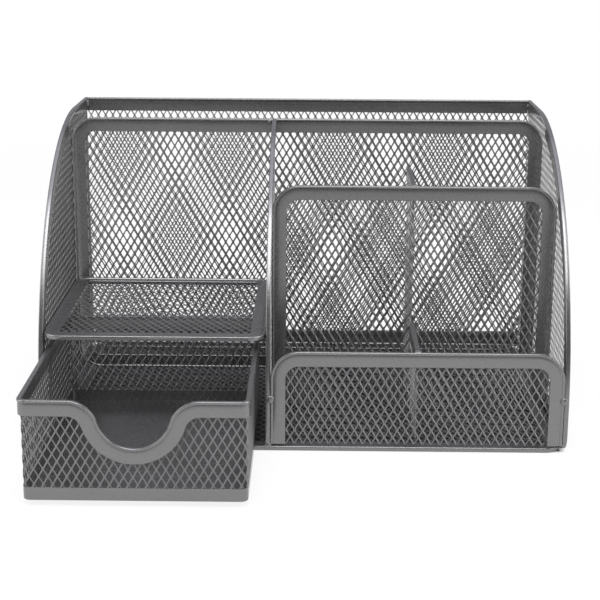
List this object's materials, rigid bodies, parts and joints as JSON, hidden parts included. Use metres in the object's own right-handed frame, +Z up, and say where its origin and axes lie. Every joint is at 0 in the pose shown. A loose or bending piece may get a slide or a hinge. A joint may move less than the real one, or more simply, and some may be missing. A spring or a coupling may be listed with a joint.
{
  "type": "mesh desk stand with drawer",
  "caption": "Wire mesh desk stand: open pen cups in two rows, a letter slot along the back and a shelf over a pull-out drawer.",
  "frame": {"origin": "middle of the housing's footprint, on the surface that it stands on", "axes": "+X to the right seen from the front, +Y to the rear, +Z up"},
  "size_m": [0.22, 0.2097, 0.128],
  "materials": {
    "painted_net": "satin",
    "painted_strip": "satin",
    "painted_sheet": "satin",
    "weld_bead": "satin"
  },
  "bodies": {
    "housing": {"left_side_net": "painted_net", "left_side_rim": "painted_strip", "right_side_net": "painted_net", "right_side_rim": "painted_strip", "rear_net": "painted_net", "rear_top_rim": "painted_strip", "rear_foot_rim": "painted_strip", "base_net": "painted_net", "base_rim": "painted_strip", "rear_divider_net": "painted_net", "rear_divider_rim": "painted_strip", "centre_divider_net": "painted_net", "centre_divider_rim": "painted_strip", "middle_panel_net": "painted_net", "middle_panel_rim": "painted_strip", "front_panel_net": "painted_net", "front_panel_rim": "painted_strip", "rear_cup_divider_net": "painted_net", "rear_cup_divider_rim": "painted_strip", "front_cup_divider_net": "painted_net", "front_cup_divider_rim": "painted_strip", "shelf_net": "painted_net", "shelf_rim": "painted_strip", "weld_beads": "weld_bead"},
    "drawer": {"drawer_rim": "painted_strip", "drawer_front_net": "painted_net", "drawer_left_net": "painted_net", "drawer_right_net": "painted_net", "drawer_rear_net": "painted_net", "drawer_corner_nets": "painted_net", "drawer_pan": "painted_sheet"}
  },
  "joints": [
    {"name": "drawer_slide", "type": "slide", "parent": "housing", "child": "drawer", "axis": [0, -1, 0], "range_m": [-0.0404, 0.0263]}
  ]
}
